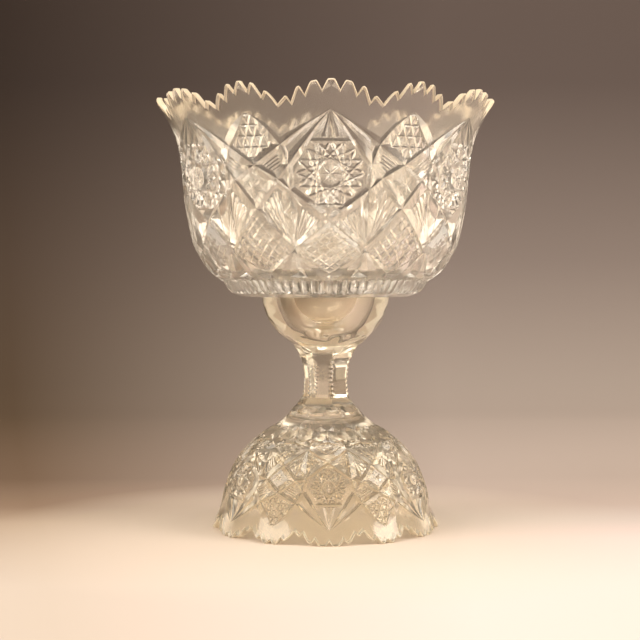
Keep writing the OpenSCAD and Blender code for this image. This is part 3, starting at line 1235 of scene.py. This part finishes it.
def toothed_wall(piece, sheet, inside, in_way, teeth, rim_r, to_z, limit_z, chamfer):
    """Outside, inside and edge of a wall whose rim is cut into teeth."""
    outside = sheet.profile
    back = set_back(teeth, rim_r, chamfer)
    cuts = list(sheet.found.values())
    cut_limit = outside.at_height(limit_z)
    piece.patch(*wall_patch(outside, sheet.unroll_r, cuts, 0.0, back, to_z, cut_limit))
    piece.finish = 2
    piece.patch(*wall_patch(inside, sheet.unroll_r, [], in_way, back, to_z))
    piece.finish = 1
    piece.strips([
        [(a, outside.radius(to_z(d)), to_z(d)) for a, d in back],
        [(a, outside.radius(to_z(d)) - chamfer, to_z(d)) for a, d in teeth],
        [(a, inside.radius(to_z(d)) + chamfer, to_z(d)) for a, d in teeth],
        [(a, inside.radius(to_z(d)), to_z(d)) for a, d in back],
    ])
    piece.finish = 0


print("patches ready")

# %% [markdown]
# ## The bowl
# Now the bowl goes together: outside, edge and inside for every half repeat, then the floor,
# the ground ring and the shallow recess by which it sits on the stand. The recess hides a
# star of 24 mitres under the bottom. The photograph doesn't show it, but most cut bowls have
# one.

# %% Make the bowl
bowl_chamfer = 0.75
pattern_top_z = 278

# the star under the bottom, and the radii of its rows of points
star_rays = 24
star_out_r = 42.5
star_full_r = 37.0
star_slope = 0.75
star_radii = [star_out_r, star_full_r, 29.0, 20.0, 12.0, 5.0, 0.0]


def ray_depth(degrees, r):
    """How deep the star under the bottom is cut, in a direction and at a radius."""
    pitch = 360 / star_rays
    off_ray = abs((degrees + pitch / 2) % pitch - pitch / 2)
    deepest = star_slope * min(r, star_full_r) * math.radians(pitch / 2)
    if r > star_full_r:
        deepest *= (star_out_r - r) / (star_out_r - star_full_r)
    return deepest * (1 - off_ray / (pitch / 2))


bowl_mesh = Glass()
floor_rows = 4
floor_ring_r = 21.0
toothed_wall(
    bowl_mesh, bowl_sheet, bowl_inside, bowl_inside.way[floor_rows], bowl_teeth, bowl_r,
    lambda depth: bowl_z + bowl_h - depth, pattern_top_z, bowl_chamfer)
bowl_mesh.finish = 2
bowl_mesh.rings([(0.0, floor_z), (floor_ring_r, floor_z), *bowl_inside.line[: floor_rows + 1]])
bowl_mesh.finish = 3
recess_r = cup_r + seat_clearance
recess_z = bowl_z + seat_depth + seat_gap
bowl_mesh.rings([
    (ground_ring_r, bowl_z), (recess_r, bowl_z), (recess_r, recess_z), (star_out_r, recess_z)])
bowl_mesh.finish = 0
bowl_mesh.strips([[(a, r, recess_z + ray_depth(a, r)) for a in columns] for r in star_radii])
bowl = bowl_mesh.build("cut_bowl", [bowl_glass, bowl_edge, bowl_worn, bowl_ground])

# %% [markdown]
# ## The stand's outline
# The stand is one turned line from the foot over the dome, the stem and the cup. Its wall
# under the dome is 6 mm thick. The upper part of the dome belongs to the stem's mesh, and the
# cut part to a sheet like the bowl's, which runs down to the teeth.

# %% Profiles of the stand
dome_shares = [
    (1, 0), (0.996, 0.04), (0.964, 0.13), (0.929, 0.22), (0.903, 0.367), (0.862, 0.514),
    (0.785, 0.681), (0.671, 0.829), (0.537, 0.953), (0.458, 1),
]
stem_shares = [
    (1.774, 0.098), (1.387, 0.23), (1.148, 0.335), (1.071, 0.45), (1.097, 0.583),
    (1.194, 0.717), (1.355, 0.825), (1.58, 0.925),
]
cup_shares = [(0.657, 0), (0.736, 0.127), (0.894, 0.43), (0.979, 0.756), (1, 0.98)]
cup_z = dome_h + stem_h
stand_points = [(foot_r * r, dome_h * z) for r, z in dome_shares]
stand_points += [(stem_r * r, dome_h + stem_h * z) for r, z in stem_shares]
stand_points += [(cup_r * r, cup_z + (lip_z - seat_depth - cup_z) * z) for r, z in cup_shares]
stand_line = smooth_line(stand_points)
shoulder_z = 74.0
shoulder = int(np.argmax(stand_line[:, 1] > shoulder_z))
dome_outside = Profile(stand_line[: shoulder + 1][::-1])

hollow_points = np.array(stand_points[:8]) + left_of(np.array(stand_points[:8])) * dome_wall
crown_z = dome_h - dome_crown
crown_r = foot_r - dome_wall
hollow_points = [(hollow_points[0][0], 0.0), *hollow_points[1:]]
crown_bend = (0.42, 0.975)
hollow_points += [(crown_r * crown_bend[0], crown_z * crown_bend[1]), (0.0, crown_z)]
dome_inside = Profile(smooth_line(hollow_points)[::-1])
print("dome outside runs", round(float(dome_outside.way[-1]), 1), "mm from shoulder to foot")

# %% [markdown]
# ## The dome's pattern
# The same star pattern goes over the dome, about two thirds as large and upside down,
# because the dome stands on its rim. All cutting helpers are used again on a new sheet.
# Round the shoulder, 24 broad mitres stand side by side like petals.

# %% Cut the dome's sheet
dome_lattice = {
    "top": (0, 9.4), "kite_top": (30, 10.5), "kite_side": (18.7, 26), "kite_foot": (30, 32.5),
    "shoulder": (15, 33.2), "cross": (20.4, 40.5), "elbow": (14, 42), "side_foot": (30, 50),
    "foot": (0, 53), "fan": (14.5, 60.4), "end": (0, 65.0), "side_end": (30, 64.5),
}
dome_sheet = Sheet(dome_outside, 66.0, 0.72)
dome_at = {name: dome_sheet.spot(*place) for name, place in dome_lattice.items()}
mitres(dome_sheet, dome_at)
hobstar(dome_sheet, dome_sheet.spot(0, 36.6), 12.0)
dome_sheet.star(dome_sheet.spot(30, 41.5), 8, small_star_r, small_star_size)
chords(dome_sheet, dome_at, 25.8, 8.4, 49.0, 5.5, 2.7)
fans_and_lines(dome_sheet, dome_at, [-15, -22, -29, -36], [15, 22, 29, 36])
hobnails(dome_sheet, dome_at, 3.9, 4.6)
diamonds(dome_sheet, dome_at, 5.5)
# half the width, depth and both leads of a petal
petal = (8.0, 1.6, 3.0, 3.0)
petals = 24
for i in range(2):
    degrees = (i + 0.5) * 360 / petals
    low = dome_sheet.spot(degrees, 63.0)
    high = dome_sheet.spot(degrees, 72.0)
    dome_sheet.add(groove(low, high, *petal))
print(len(dome_sheet.found), "cuts in half a repeat of the dome")

# %% [markdown]
# ## The stem
# The stem was cut flat on six sides, which run out in the shoulder below and under the cup
# above. Its corners carry small notches, nine each. A grid round the axis is enough here:
# its radius is the least of the turned line, the six flats and the notches.

# %% Radius of the stem
flat_line = np.array([
    (40.0, 74.5), (24.0, 80.5), (17.6, 84.3), (14.4, 90.0), (13.6, 102.0), (14.6, 112.0),
    (16.4, 119.0), (19.8, 125.5), (26.4, 130.3), (34.1, 134.8), (60.0, 145.0),
])
stem_corner = columns[5]
notch_count = 9
notch_pitch = 3.0
notch_low_z = 91.0
notch_deep = 1.2
notch_places = [notch_low_z + notch_pitch * i for i in range(notch_count)]
cup_side_z = 158.4


def stem_radius(degrees, z):
    """Radius of the stem in a direction, at a height."""
    turned = float(np.interp(z, stand_line[shoulder:, 1], stand_line[shoulder:, 0]))
    off_corner = (degrees - stem_corner + 30) % 60 - 30
    off_flat = 30 - abs(off_corner)
    apothem = float(np.interp(z, flat_line[:, 1], flat_line[:, 0]))
    radius = min(turned, apothem / math.cos(math.radians(off_flat)))
    corner_r = apothem / math.cos(math.radians(30))
    off_notch = min(abs(z - place) for place in notch_places)
    notched = corner_r - notch_deep + off_notch * notch_deep / (notch_pitch / 2)
    return min(radius, notched / math.cos(math.radians(off_corner)))


stem_rows = {76, 78, 80.5, 82.4, 84.3, 86.2, 88, 90, 119, 121, 123.2, 125.5, 128, 130.3, 132.5}
stem_rows |= {134.8, 137, 140, 143, 146, 149, 152, 155, cup_side_z}
stem_rows |= {notch_low_z + notch_pitch / 2 * (i - 1) for i in range(2 * notch_count + 1)}
stem_rows = sorted(z for z in stem_rows if z > stand_line[shoulder, 1] + 0.5)
stem_columns = [column * i for i in range(12 * 12 + 1)]
print(len(stem_rows), "rows of", len(stem_columns) - 1, "points in the stem and cup")

# %% [markdown]
# ## The stand
# Dome, stem and cup close into the second piece of glass. The tips of the foot's teeth are
# ground a little flat, because the stand rests on them. The cup's flat lip goes into the
# recess under the bowl, and its inside is a smooth hollow.

# %% Make the stand
foot_ground = 0.6
foot_chamfer = 0.65
foot_limit_z = 8.5
crown_rows = 8
ground_teeth = np.array([(a, max(d, foot_ground) - foot_ground) for a, d in foot_teeth])

stand_mesh = Glass()
toothed_wall(
    stand_mesh, dome_sheet, dome_inside, dome_inside.way[crown_rows], ground_teeth, foot_r,
    lambda depth: depth, foot_limit_z, foot_chamfer)
stand_mesh.finish = 2
stand_mesh.rings(dome_inside.line[: crown_rows + 1])
stand_mesh.finish = 0
rows = [[(a, *stand_line[shoulder]) for a in stem_columns]]
rows += [[(a, stem_radius(a, z), z) for a in stem_columns] for z in stem_rows]
stand_mesh.strips(rows, copies=1, mirror=False)

lip_chamfer = 0.6
cup_mouth_r = cup_r - cup_lip
lip = [
    (stand_points[-1][0], cup_side_z), (cup_r, lip_z - lip_chamfer), (cup_r - lip_chamfer, lip_z),
    (cup_mouth_r + lip_chamfer, lip_z), (cup_mouth_r, lip_z - lip_chamfer),
]
for i in range(1, 13):
    angle = math.pi / 2 * i / 12
    lip.append((cup_mouth_r * math.cos(angle), lip_z - cup_depth * math.sin(angle)))
stand_mesh.rings(lip)
stand = stand_mesh.build("cut_stand", [stand_glass, stand_edge, stand_worn])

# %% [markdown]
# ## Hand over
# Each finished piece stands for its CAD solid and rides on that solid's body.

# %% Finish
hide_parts("bowl")
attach(bowl, "bowl")
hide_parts("stand")
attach(stand, "stand")
